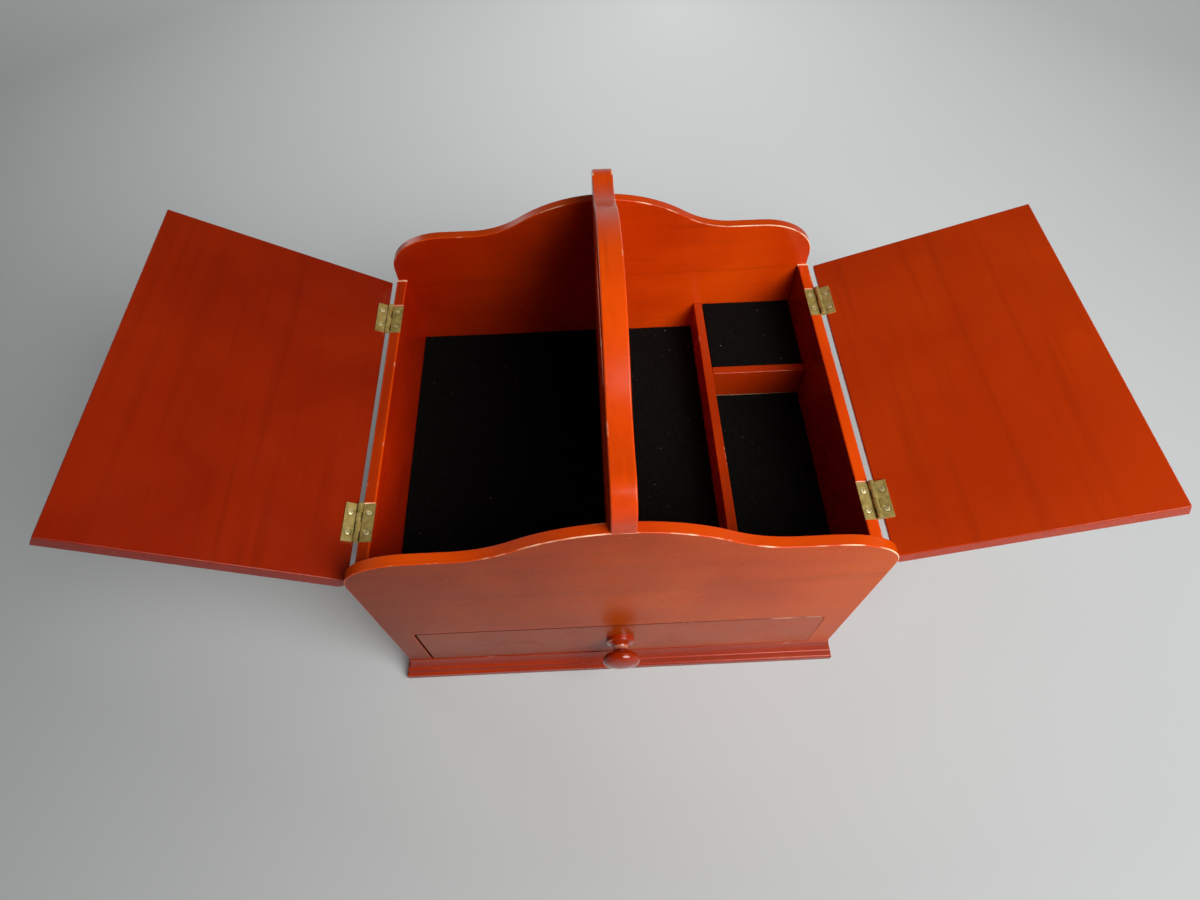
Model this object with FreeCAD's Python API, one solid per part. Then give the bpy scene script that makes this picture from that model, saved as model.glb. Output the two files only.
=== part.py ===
import FreeCAD, Part
import math
import os

Vector = FreeCAD.Vector

# Jewelry box with two wing lids, a drawer and a carrying board.
# Millimetres and degrees. The origin is the middle of the underside,
# +X to the right, +Y to the back and +Z up. The lids stand open at rest.

# Case
case_width = 280.0
case_depth = 230.0
panel_thickness = 6.0
wall_thickness = 6.0
wall_height = 125.0
shoulder_height = 157.5
shoulder_radius = 24.0
shoulder_flat = 31.0
ogee_rise = 27.5
floor_height = 66.0
floor_thickness = 6.0

# Base: mitred mouldings round a board
base_height = 24.0
base_overhang = 6.0
moulding_reach = 10.0
band_height = 6.5
band_step = 0.8
ridge_height = 13.0
ridge_overhang = 3.9
ridge_step = 0.6
top_overhang = 0.5
cove_hollow = 0.7
base_board_thickness = 9.0

# Handle board
handle_thickness = 12.0
handle_shoulder_height = 211.0
handle_end_radius = 17.0
handle_shoulder_flat = 3.0
hump_rise = 30.0
handle_edge_chamfer = 2.0
hand_hole_length = 95.0
hand_hole_height = 26.0
hand_hole_drop = 37.0
hand_hole_chamfer = 1.5

# Dividers and felt
divider_thickness = 6.0
divider_height = 25.5
long_divider_place = 68.5
cross_divider_place = 46.5
felt_thickness = 2.0
felt_gap = 0.3
pad_thickness = 25.0
pad_edge_radius = 2.0

# Drawer
drawer_stile_width = 14.7
drawer_rail_height = 6.4
drawer_gap = 0.8
left_corner_radius = 1.5
right_corner_radius = 6.0
drawer_side_setback = 1.5
drawer_side_thickness = 6.0
drawer_rear_room = 14.0
drawer_bottom_thickness = 3.0
drawer_bottom_lift = 5.0
drawer_groove_depth = 3.0
drawer_felt_thickness = 1.5
slide_clearance = 0.3
guide_clearance = 0.5
runner_width = 24.0
guide_height = 16.0
kicker_width = 19.0
kicker_height = 19.2

# Knob and its screw
knob_length = 18.5
knob_head_radius = 11.7
knob_face_radius = 10.6
knob_rim_length = 5.4
knob_rim_chamfer = 1.6
knob_dome_rise = 1.5
knob_flare_length = 1.5
knob_flare_radius = 6.2
knob_neck_radius = 4.7
knob_ring_radius = 9.0
knob_ring_chamfer = 0.8
knob_ring_length = 4.8
knob_screw_radius = 1.75
knob_screw_depth = 12.0
knob_screw_head_radius = 3.6
knob_screw_head_length = 2.2

# Lids
lid_thickness = 10.0
lid_end_gap = 1.5
lid_closed_angle = 10.0
lid_handle_gap = 2.5
lid_eaves_radius = 4.0
left_lid_open_angle = 30.0
right_lid_open_angle = 20.0

# Butt hinges
hinge_spacing = 148.0
hinge_length = 23.0
hinge_offset = 2.0
leaf_thickness = 1.0
lid_leaf_width = 6.0
lid_edge_setback = 1.7
barrel_radius = 1.7
pin_radius = 0.9
pin_clearance = 0.05
knuckle_count = 4
knuckle_gap = 0.2
barrel_clearance = 0.3
mortise_clearance = 0.1
hinge_screw_spacing = 12.0
hinge_screw_radius = 0.8
hinge_screw_head_radius = 1.9
hinge_screw_length = 8.0
hinge_screw_sides = 8
screw_clearance = 0.05

# Levels and faces that several pieces share
half_width = case_width / 2
half_depth = case_depth / 2
inner_x = half_width - wall_thickness
inner_y = half_depth - panel_thickness
base_top = base_height
wall_top = base_top + wall_height
shoulder_level = base_top + shoulder_height
peak_level = shoulder_level + ogee_rise
ogee_half_span = half_width - shoulder_radius - shoulder_flat
floor_top = base_top + floor_height
floor_bottom = floor_top - floor_thickness
divider_top = floor_top + divider_height
handle_face = handle_thickness / 2
pin_x = half_width + hinge_offset
pin_z = wall_top + barrel_radius - leaf_thickness
drawer_face = -half_depth
drawer_back_of_front = drawer_face + panel_thickness
drawer_half_width = half_width - drawer_stile_width - drawer_gap
drawer_front_foot = base_top + drawer_gap
drawer_front_top = floor_bottom - drawer_rail_height - drawer_gap
drawer_axis = (drawer_front_foot + drawer_front_top) / 2

os.makedirs("parts", exist_ok=True)


def save(name, shape):
    """Write one named piece."""
    shape.exportStep("parts/" + name + ".step")


def block(x0, x1, y0, y1, z0, z1):
    """A board between three pairs of limits."""
    return Part.makeBox(x1 - x0, y1 - y0, z1 - z0, Vector(x0, y0, z0))


def line(p, q):
    return Part.makeLine(p, q)


def arc(p, middle, q):
    return Part.Arc(p, middle, q).toShape()


def polygon(points):
    """Closed wire through the points."""
    return Part.makePolygon(points + [points[0]])


def extrude(edges, along):
    """Solid from a closed outline."""
    return Part.Face(Part.Wire(Part.__sortEdges__(edges))).extrude(along)


def group(solids):
    """Separate like pieces in one node."""
    return Part.makeCompound(solids)


def arc_middle(centre, p, q):
    """Point halfway along the shorter arc from p to q."""
    to_p = (p[0] - centre[0], p[1] - centre[1])
    to_q = (q[0] - centre[0], q[1] - centre[1])
    radius = math.hypot(*to_p)
    half = (to_p[0] + to_q[0], to_p[1] + to_q[1])
    reach = radius / math.hypot(*half)
    return (centre[0] + half[0] * reach, centre[1] + half[1] * reach)


def ogee_edges(half, foot, shoulder, radius, span, rise, place):
    """Open outline from one foot over the ogee to the other.

    Round shoulder corners, flat shoulders, then two equal arcs each side
    that meet halfway and climb to the crown. place maps (across, up) to 3-D.
    """
    arc_radius = (span ** 2 + rise ** 2) / (4 * rise)
    crown = (0.0, shoulder + rise)
    edges = []
    for side in (-1, 1):
        end_low = (side * half, foot)
        end_high = (side * half, shoulder - radius)
        corner = (side * (half - radius), shoulder)
        corner_centre = (side * (half - radius), shoulder - radius)
        toe = (side * span, shoulder)
        toe_centre = (side * span, shoulder + arc_radius)
        turn = (side * span / 2, shoulder + rise / 2)
        corner_middle = arc_middle(corner_centre, end_high, corner)
        toe_middle = arc_middle(toe_centre, toe, turn)
        edges.append(line(place(*end_low), place(*end_high)))
        edges.append(arc(place(*end_high), place(*corner_middle), place(*corner)))
        edges.append(line(place(*corner), place(*toe)))
        edges.append(arc(place(*toe), place(*toe_middle), place(*turn)))
    left_turn = (-span / 2, shoulder + rise / 2)
    right_turn = (span / 2, shoulder + rise / 2)
    edges.append(arc(place(*left_turn), place(*crown), place(*right_turn)))
    return edges


def ring(radius, up):
    """Points round a small screw, which has flat sides in place of a round one."""
    turns = [2 * math.pi * i / hinge_screw_sides for i in range(hinge_screw_sides)]
    return [Vector(radius * math.cos(turn), radius * math.sin(turn), up) for turn in turns]


def screw(head_radius, head_length, radius, length):
    """Countersunk screw along -Z with its flat head's top at the origin."""
    rings = [ring(head_radius, 0), ring(radius, -head_length), ring(radius, -length)]
    faces = [Part.Face(polygon(rings[0])), Part.Face(polygon(rings[-1]))]
    for upper, lower in zip(rings, rings[1:]):
        for i in range(hinge_screw_sides):
            quad = [upper[i - 1], upper[i], lower[i], lower[i - 1]]
            faces.append(Part.Face(polygon(quad)))
    return Part.makeSolid(Part.makeShell(faces))


# Base: a moulding profile, extruded along each side and cut to mitres

def moulding_profile(place):
    """Band, small cove, ridge and tall cove, from the outside in."""
    def cove(low, high):
        middle_out = (low[0] + high[0]) / 2 - cove_hollow
        middle_up = (low[1] + high[1]) / 2
        return arc(place(*low), place(middle_out, middle_up), place(*high))

    inner_low = (-moulding_reach, 0.0)
    outer_low = (base_overhang, 0.0)
    band_top = (base_overhang, band_height)
    cove_foot = (base_overhang - band_step, band_height)
    ridge = (ridge_overhang, ridge_height)
    ridge_back = (ridge_overhang - ridge_step, ridge_height)
    outer_top = (top_overhang, base_height)
    inner_top = (-moulding_reach, base_height)
    return [
        line(place(*inner_low), place(*outer_low)),
        line(place(*outer_low), place(*band_top)),
        line(place(*band_top), place(*cove_foot)),
        cove(cove_foot, ridge),
        line(place(*ridge), place(*ridge_back)),
        cove(ridge_back, outer_top),
        line(place(*outer_top), place(*inner_top)),
        line(place(*inner_top), place(*inner_low)),
    ]


def base_moulding(face, half_length, turn):
    """One strip on the -Y side at distance face, then turned into place."""
    long_end = half_length + base_overhang
    short_end = half_length - moulding_reach
    outer = -(face + base_overhang)
    inner = -(face - moulding_reach)
    strip = extrude(
        moulding_profile(lambda out, up: Vector(-long_end, -(face + out), up)),
        Vector(2 * long_end, 0, 0),
    )
    plan = polygon([
        Vector(-long_end, outer, 0),
        Vector(long_end, outer, 0),
        Vector(short_end, inner, 0),
        Vector(-short_end, inner, 0),
    ])
    mitred = strip.common(Part.Face(plan).extrude(Vector(0, 0, base_height)))
    mitred.rotate(Vector(0, 0, 0), Vector(0, 0, 1), turn)
    return mitred


save("front_base_moulding", base_moulding(half_depth, half_width, 0))
save("right_base_moulding", base_moulding(half_width, half_depth, 90))
save("back_base_moulding", base_moulding(half_depth, half_width, 180))
save("left_base_moulding", base_moulding(half_width, half_depth, 270))

board_x = half_width - moulding_reach
board_y = half_depth - moulding_reach
save("base_board", block(-board_x, board_x, -board_y, board_y, 0, base_board_thickness))


# Case: ogee panels front and back, walls between them, floor between those

def ogee_panel(face):
    """Panel with its -Y face at the given place."""
    def place(across, up):
        return Vector(across, face, up)

    edges = ogee_edges(
        half_width, base_top, shoulder_level, shoulder_radius, ogee_half_span, ogee_rise, place
    )
    edges.append(line(place(-half_width, base_top), place(half_width, base_top)))
    return extrude(edges, Vector(0, panel_thickness, 0))


def drawer_outline(grow, foot, depth):
    """Drawer front's outline, grown by a gap, with its top corners rounded."""
    half = drawer_half_width + grow
    top = drawer_front_top + grow
    left = left_corner_radius + grow
    right = right_corner_radius + grow

    def place(across, up):
        return Vector(across, drawer_face, up)

    left_end = (-half, top - left)
    left_top = (-half + left, top)
    right_top = (half - right, top)
    right_end = (half, top - right)
    left_middle = arc_middle((-half + left, top - left), left_end, left_top)
    right_middle = arc_middle((half - right, top - right), right_top, right_end)
    edges = [
        line(place(-half, foot), place(*left_end)),
        arc(place(*left_end), place(*left_middle), place(*left_top)),
        line(place(*left_top), place(*right_top)),
        arc(place(*right_top), place(*right_middle), place(*right_end)),
        line(place(*right_end), place(half, foot)),
        line(place(half, foot), place(-half, foot)),
    ]
    return extrude(edges, Vector(0, depth, 0))


front_panel = ogee_panel(-half_depth)
front_panel = front_panel.cut(drawer_outline(drawer_gap, base_top, panel_thickness))
back_panel = ogee_panel(inner_y)
save("front_panel", front_panel)
save("back_panel", back_panel)

save("floor_panel", block(-inner_x, inner_x, -inner_y, inner_y, floor_bottom, floor_top))


# Butt hinges: shapes round a pin along Y at the origin, for the right side

def knuckles(first):
    """Every second stretch of the barrel, starting at the given one."""
    pitch = hinge_length / knuckle_count
    length = pitch - knuckle_gap
    starts = [-hinge_length / 2 + pitch * i + knuckle_gap / 2 for i in range(first, knuckle_count, 2)]
    return [(start, length) for start in starts]


def leaf(first, reach):
    """Leaf lying on the +X side, with its own knuckles rolled round the pin."""
    low = -barrel_radius
    plate = block(0, reach, -hinge_length / 2, hinge_length / 2, low, low + leaf_thickness)
    clear = barrel_radius + barrel_clearance
    rolled = []
    for start, length in knuckles(first):
        rolled.append(Part.makeCylinder(barrel_radius, length, Vector(0, start, 0), Vector(0, 1, 0)))
    for start, length in knuckles(1 - first):
        notch_start = start - knuckle_gap
        notch_end = start + length + knuckle_gap
        plate = plate.cut(block(-clear, clear, notch_start, notch_end, -clear, clear))
    body = plate.multiFuse(rolled).removeSplitter()
    bore = Part.makeCylinder(
        pin_radius + pin_clearance, hinge_length, Vector(0, -hinge_length / 2, 0), Vector(0, 1, 0)
    )
    return body.cut(bore)


def hinge_screws(out, up, grow):
    """Two screws into a leaf's upper face, or their holes when grown."""
    made = []
    for side in (-1, 1):
        one = screw(
            hinge_screw_head_radius + grow,
            leaf_thickness,
            hinge_screw_radius + grow,
            hinge_screw_length + grow,
        )
        one.translate(Vector(out, side * hinge_screw_spacing / 2, up))
        made.append(one)
    return made


def set_hinge(shape, side, place, turn):
    """Move a right-hand shape to its hinge: mirror, tilt about the pin, shift."""
    moved = shape.copy()
    if side < 0:
        moved = moved.mirror(Vector(0, 0, 0), Vector(1, 0, 0))
    moved.rotate(Vector(0, 0, 0), Vector(0, 1, 0), -side * turn)
    moved.translate(Vector(side * pin_x, place, pin_z))
    return moved


wall_leaf_reach = hinge_offset + wall_thickness
wall_leaf_middle = hinge_offset + wall_thickness / 2
lid_leaf_reach = lid_edge_setback + lid_leaf_width
lid_leaf_middle = lid_edge_setback + lid_leaf_width / 2
leaf_face = -barrel_radius + leaf_thickness

wall_leaf = leaf(0, wall_leaf_reach)
lid_leaf = leaf(1, lid_leaf_reach)
for hole in hinge_screws(wall_leaf_middle, leaf_face, screw_clearance):
    wall_leaf = wall_leaf.cut(hole)
for hole in hinge_screws(lid_leaf_middle, leaf_face, screw_clearance):
    lid_leaf = lid_leaf.cut(hole)
hinge_pin = Part.makeCylinder(
    pin_radius, hinge_length, Vector(0, -hinge_length / 2, 0), Vector(0, 1, 0)
)
mirror_x = (Vector(0, 0, 0), Vector(1, 0, 0))
wall_leaf = wall_leaf.mirror(*mirror_x)
wall_screw_pair = [one.mirror(*mirror_x) for one in hinge_screws(wall_leaf_middle, leaf_face, 0)]
wall_screw_holes = [
    one.mirror(*mirror_x) for one in hinge_screws(wall_leaf_middle, leaf_face, screw_clearance)
]
lid_screw_pair = hinge_screws(lid_leaf_middle, leaf_face, 0)
lid_screw_holes = hinge_screws(lid_leaf_middle, leaf_face, screw_clearance)

hinge_places = {"front": -hinge_spacing / 2, "back": hinge_spacing / 2}


# Lids: a flat board whose free edge is bevelled to meet the handle board

def lid_board():
    """Lid lying open flat on the +X side of its pin, inner face up."""
    slope = math.radians(lid_closed_angle)
    face = -barrel_radius
    back = face - lid_thickness
    run = pin_x - handle_face - lid_handle_gap
    free = (run + barrel_radius * math.sin(slope)) / math.cos(slope)
    free_back = free + lid_thickness * math.tan(slope)
    half = inner_y - lid_end_gap
    edge = lid_edge_setback
    round_out = edge + lid_eaves_radius
    round_up = back + lid_eaves_radius

    def place(out, up):
        return Vector(out, -half, up)

    middle = arc_middle((round_out, round_up), (edge, round_up), (round_out, back))
    edges = [
        line(place(edge, face), place(free, face)),
        line(place(free, face), place(free_back, back)),
        line(place(free_back, back), place(round_out, back)),
        arc(place(round_out, back), place(*middle), place(edge, round_up)),
        line(place(edge, round_up), place(edge, face)),
    ]
    return extrude(edges, Vector(0, 2 * half, 0))


flat_lid = lid_board()
for place in hinge_places.values():
    for hole in lid_screw_holes:
        moved_hole = hole.copy()
        moved_hole.translate(Vector(0, place, 0))
        flat_lid = flat_lid.cut(moved_hole)


# Walls, lids and hinges, one side at a time

wall_screws = []
for side_name, side, rise in (
    ("left", -1, left_lid_open_angle),
    ("right", 1, right_lid_open_angle),
):
    wall_x = sorted((side * inner_x, side * half_width))
    wall = block(*wall_x, -inner_y, inner_y, base_top, wall_top)
    lid_screws = []
    for place_name, place in hinge_places.items():
        reach = hinge_length / 2 + mortise_clearance
        mortise_low = wall_top - leaf_thickness
        wall = wall.cut(block(*wall_x, place - reach, place + reach, mortise_low, wall_top))
        for hole in wall_screw_holes:
            wall = wall.cut(set_hinge(hole, side, place, 0))
        for one in wall_screw_pair:
            wall_screws.append(set_hinge(one, side, place, 0))
        for one in lid_screw_pair:
            lid_screws.append(set_hinge(one, side, place, rise))
        label = side_name + "_" + place_name
        save(label + "_wall_leaf", set_hinge(wall_leaf, side, place, 0))
        save(label + "_lid_leaf", set_hinge(lid_leaf, side, place, rise))
        save(label + "_hinge_pin", set_hinge(hinge_pin, side, place, 0))
    save(side_name + "_side_wall", wall)
    save(side_name + "_lid", set_hinge(flat_lid, side, 0, rise))
    save(side_name + "_lid_screws", group(lid_screws))
save("wall_hinge_screws", group(wall_screws))


# Handle board: stands on the floor between the panels and laps over their crowns

def broad_faces(board):
    """The two faces furthest left and right."""
    by_side = sorted(board.Faces, key=lambda face: face.CenterOfMass.x)
    return [by_side[0], by_side[-1]]


def handle_board():
    def place(across, up):
        return Vector(-handle_face, across, up)

    shoulder = base_top + handle_shoulder_height
    lap = min(peak_level, shoulder - handle_end_radius) - panel_thickness
    span = half_depth - handle_end_radius - handle_shoulder_flat
    edges = ogee_edges(half_depth, lap, shoulder, handle_end_radius, span, hump_rise, place)
    for side in (-1, 1):
        edges.append(line(place(side * half_depth, lap), place(side * inner_y, lap)))
        edges.append(line(place(side * inner_y, lap), place(side * inner_y, floor_top)))
    edges.append(line(place(-inner_y, floor_top), place(inner_y, floor_top)))
    board = extrude(edges, Vector(handle_thickness, 0, 0))
    broad_edges = [edge for face in broad_faces(board) for edge in face.Edges]
    top_edges = [edge for edge in broad_edges if edge.CenterOfMass.z > lap]
    board = board.makeChamfer(handle_edge_chamfer, top_edges)

    hole_end = (hand_hole_length - hand_hole_height) / 2
    hole_middle = shoulder + hump_rise - hand_hole_drop
    hole_half = hand_hole_height / 2
    hole_low = hole_middle - hole_half
    hole_high = hole_middle + hole_half
    hole = [
        line(place(-hole_end, hole_high), place(hole_end, hole_high)),
        line(place(-hole_end, hole_low), place(hole_end, hole_low)),
    ]
    for side in (-1, 1):
        hole.append(arc(
            place(side * hole_end, hole_high),
            place(side * (hole_end + hole_half), hole_middle),
            place(side * hole_end, hole_low),
        ))
    board = board.cut(extrude(hole, Vector(handle_thickness, 0, 0)))
    hole_edges = []
    for face in broad_faces(board):
        for wire in face.Wires:
            if not wire.isSame(face.OuterWire):
                hole_edges += wire.Edges
    board = board.makeChamfer(hand_hole_chamfer, hole_edges)
    return board.cut(front_panel).cut(back_panel)


save("handle_board", handle_board())


# Dividers and soft linings, all standing on the floor panel

long_low = long_divider_place - divider_thickness / 2
long_high = long_divider_place + divider_thickness / 2
cross_low = cross_divider_place - divider_thickness / 2
cross_high = cross_divider_place + divider_thickness / 2
save("long_divider", block(long_low, long_high, -inner_y, inner_y, floor_top, divider_top))
save("cross_divider", block(long_high, inner_x, cross_low, cross_high, floor_top, divider_top))


def lining(x0, x1, y0, y1, thickness):
    """Soft block on the floor, kept clear of the boards round it."""
    return block(
        x0 + felt_gap, x1 - felt_gap, y0 + felt_gap, y1 - felt_gap, floor_top, floor_top + thickness
    )


save("left_floor_felt", lining(-inner_x, -handle_face, -inner_y, inner_y, felt_thickness))
save("narrow_floor_felt", lining(handle_face, long_low, -inner_y, inner_y, felt_thickness))
save("front_right_floor_felt", lining(long_high, inner_x, -inner_y, cross_low, felt_thickness))

pad = lining(long_high, inner_x, cross_high, inner_y, pad_thickness)
pad_face = max(pad.Faces, key=lambda face: face.CenterOfMass.z)
save("raised_pad", pad.makeFillet(pad_edge_radius, pad_face.Edges))


# Drawer: flush front, two sides in front of a back, bottom in grooves

kicker_low = floor_bottom - kicker_height
side_outer = drawer_half_width - drawer_side_setback
side_inner = side_outer - drawer_side_thickness
side_foot = base_top + slide_clearance
side_top = kicker_low - guide_clearance
drawer_rear = inner_y - drawer_rear_room
bottom_low = side_foot + drawer_bottom_lift
bottom_high = bottom_low + drawer_bottom_thickness
bottom_edge = side_inner + drawer_groove_depth
back_face = drawer_rear - drawer_side_thickness
along_y = Vector(0, 1, 0)

drawer_front = drawer_outline(0, drawer_front_foot, panel_thickness)
knob_screw_hole = Part.makeCylinder(
    knob_screw_radius + screw_clearance, panel_thickness, Vector(0, drawer_face, drawer_axis), along_y
)
save("drawer_front", drawer_front.cut(knob_screw_hole))
groove = block(
    -bottom_edge, bottom_edge, drawer_back_of_front, drawer_rear, bottom_low, bottom_high
)
for side_name, side in (("left", -1), ("right", 1)):
    side_x = sorted((side * side_inner, side * side_outer))
    board = block(*side_x, drawer_back_of_front, drawer_rear, side_foot, side_top)
    save("drawer_" + side_name + "_side", board.cut(groove))
save("drawer_back", block(-side_inner, side_inner, back_face, drawer_rear, bottom_high, side_top))
save("drawer_bottom", groove)
save("drawer_felt", block(
    -side_inner + felt_gap,
    side_inner - felt_gap,
    drawer_back_of_front + felt_gap,
    back_face - felt_gap,
    bottom_high,
    bottom_high + drawer_felt_thickness,
))


# Drawer supports: runners below, guides beside and kickers above its sides

for side_name, side in (("left", -1), ("right", 1)):
    runner_x = sorted((side * (board_x - runner_width), side * board_x))
    runner = block(*runner_x, -board_y, board_y, base_board_thickness, base_top)
    save(side_name + "_drawer_runner", runner)
    guide_x = sorted((side * (side_outer + guide_clearance), side * inner_x))
    guide = block(*guide_x, -inner_y, inner_y, base_top, base_top + guide_height)
    save(side_name + "_drawer_guide", guide)
    kicker_x = sorted((side * (inner_x - kicker_width), side * inner_x))
    kicker = block(*kicker_x, -inner_y, inner_y, kicker_low, floor_bottom)
    save(side_name + "_drawer_kicker", kicker)


# Knob: turned in one piece, with a ring, a neck and a shallow domed head

def knob():
    def place(out, radius):
        return Vector(radius, drawer_face - out, drawer_axis)

    rim_end = knob_length - knob_dome_rise
    rim_start = rim_end - knob_rim_length
    head_start = rim_start - knob_flare_length
    neck_middle = (knob_ring_length + head_start) / 2
    outline = [
        (0.0, 0.0),
        (0.0, knob_ring_radius),
        (knob_ring_length - knob_ring_chamfer, knob_ring_radius),
        (knob_ring_length, knob_ring_radius - knob_ring_chamfer),
        (knob_ring_length, knob_flare_radius),
        (neck_middle, knob_neck_radius),
        (head_start, knob_flare_radius),
        (rim_start, knob_face_radius),
        (rim_start + knob_rim_chamfer, knob_head_radius),
        (rim_end - knob_rim_chamfer, knob_head_radius),
        (rim_end, knob_face_radius),
        (knob_length, knob_face_radius),
        (knob_length, 0.0),
    ]
    face = Part.Face(polygon([place(*point) for point in outline]))
    solid = face.revolve(Vector(0, drawer_face, drawer_axis), along_y, 360)
    dome_radius = (knob_face_radius ** 2 + knob_dome_rise ** 2) / (2 * knob_dome_rise)
    dome_centre = place(knob_length - dome_radius, 0)
    solid = solid.common(Part.makeSphere(dome_radius, dome_centre))
    bore = Part.makeCylinder(
        knob_screw_radius + screw_clearance,
        knob_screw_depth + screw_clearance,
        Vector(0, drawer_face - knob_screw_depth - screw_clearance, drawer_axis),
        along_y,
    )
    return solid.cut(bore)


save("knob", knob())
knob_screw_tip = Vector(0, drawer_face - knob_screw_depth, drawer_axis)
knob_screw_seat = Vector(0, drawer_back_of_front, drawer_axis)
knob_screw = Part.makeCylinder(
    knob_screw_radius, knob_screw_depth + panel_thickness, knob_screw_tip, along_y
)
knob_screw_head = Part.makeCylinder(
    knob_screw_head_radius, knob_screw_head_length, knob_screw_seat, along_y
)
save("knob_screw", knob_screw.fuse(knob_screw_head).removeSplitter())
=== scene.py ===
import math

import bpy
from mathutils import Matrix, Vector, noise


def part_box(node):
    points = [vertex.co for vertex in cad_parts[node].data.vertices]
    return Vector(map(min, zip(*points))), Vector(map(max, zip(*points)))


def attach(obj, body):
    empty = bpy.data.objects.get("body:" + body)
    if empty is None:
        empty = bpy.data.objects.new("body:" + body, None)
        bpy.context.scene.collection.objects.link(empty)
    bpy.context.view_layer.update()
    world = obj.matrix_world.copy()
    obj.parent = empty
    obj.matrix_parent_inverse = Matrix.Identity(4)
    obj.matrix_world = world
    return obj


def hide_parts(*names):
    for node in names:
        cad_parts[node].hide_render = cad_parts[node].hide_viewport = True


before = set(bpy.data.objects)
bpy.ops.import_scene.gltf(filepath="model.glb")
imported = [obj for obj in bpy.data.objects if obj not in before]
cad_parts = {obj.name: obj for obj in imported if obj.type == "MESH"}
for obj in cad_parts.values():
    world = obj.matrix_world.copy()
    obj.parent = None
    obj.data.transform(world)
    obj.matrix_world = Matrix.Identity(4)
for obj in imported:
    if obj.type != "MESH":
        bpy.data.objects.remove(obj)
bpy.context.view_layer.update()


# Base mouldings
# Four strips of lacquered wood run to one profile: a round-nosed band at the foot, a small
# cove, a ridge and a taller cove. They are mitred at the corners and glued round a board.

def new_finish(name):
    """Fresh finish: the material, its tree, its shader and its object coordinates."""
    finish = bpy.data.materials.new(name)
    finish.use_nodes = True
    tree = finish.node_tree
    place = tree.nodes.new("ShaderNodeTexCoord").outputs["Object"]
    return finish, tree, tree.nodes["Principled BSDF"], place


def noise_value(tree, place, cells, detail, distortion=0.0):
    """Noise between 0 and 1 with so many cells per metre, alike or given for x, y and z."""
    stretch = tree.nodes.new("ShaderNodeMapping")
    stretch.inputs["Scale"].default_value = cells if isinstance(cells, tuple) else (cells,) * 3
    grains = tree.nodes.new("ShaderNodeTexNoise")
    grains.inputs["Scale"].default_value = 1
    grains.inputs["Detail"].default_value = detail
    grains.inputs["Distortion"].default_value = distortion
    tree.links.new(place, stretch.inputs["Vector"])
    tree.links.new(stretch.outputs["Vector"], grains.inputs["Vector"])
    return grains.outputs["Fac"]


def along_grain(axis, across, lengthwise):
    """Cells per metre of a pattern that is drawn out along one axis."""
    return tuple(lengthwise if name == axis else across for name in "xyz")


def spread_value(tree, value, levels=(0.3, 0.7), onto=(0, 1)):
    """A value between two levels stretched onto another range, and held at its ends."""
    stretch = tree.nodes.new("ShaderNodeMapRange")
    for end, span in (("From", levels), ("To", onto)):
        stretch.inputs[end + " Min"].default_value = span[0]
        stretch.inputs[end + " Max"].default_value = span[1]
    tree.links.new(value, stretch.inputs["Value"])
    return stretch.outputs["Result"]


def mix_colours(tree, share, first, second, way="MIX"):
    """Colour between two colours, each a fixed one or the output of a node."""
    mix = tree.nodes.new("ShaderNodeMix")
    mix.data_type = "RGBA"
    mix.blend_type = way
    tree.links.new(share, mix.inputs[0])
    for socket, colour in ((mix.inputs[6], first), (mix.inputs[7], second)):
        if isinstance(colour, tuple):
            socket.default_value = colour + (1,)
        else:
            tree.links.new(colour, socket)
    return mix.outputs[2]


def combine(tree, way, *values):
    """Value worked out from others, each a fixed one or the output of a node."""
    sum_node = tree.nodes.new("ShaderNodeMath")
    sum_node.operation = way
    for socket, value in zip(sum_node.inputs, values):
        if isinstance(value, (int, float)):
            socket.default_value = value
        else:
            tree.links.new(value, socket)
    return sum_node.outputs[0]


def add_slope(tree, value, place, slope):
    """A value that also rises by so much for each metre towards the right."""
    across = tree.nodes.new("ShaderNodeSeparateXYZ")
    tree.links.new(place, across.inputs[0])
    return combine(tree, "MULTIPLY_ADD", across.outputs["X"], slope, value)


def colour_surface(tree, shader, colour, dull, gloss):
    """Give a shader its colour, and a roughness that follows a noise."""
    tree.links.new(colour, shader.inputs["Base Color"])
    tree.links.new(spread_value(tree, dull, onto=gloss), shader.inputs["Roughness"])


def raise_surface(tree, shader, value, height):
    """Fine relief on a surface, of the given height in metres."""
    bump = tree.nodes.new("ShaderNodeBump")
    bump.inputs["Strength"].default_value = 1
    bump.inputs["Distance"].default_value = height
    tree.links.new(value, bump.inputs["Height"])
    tree.links.new(bump.outputs["Normal"], shader.inputs["Normal"])


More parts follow.
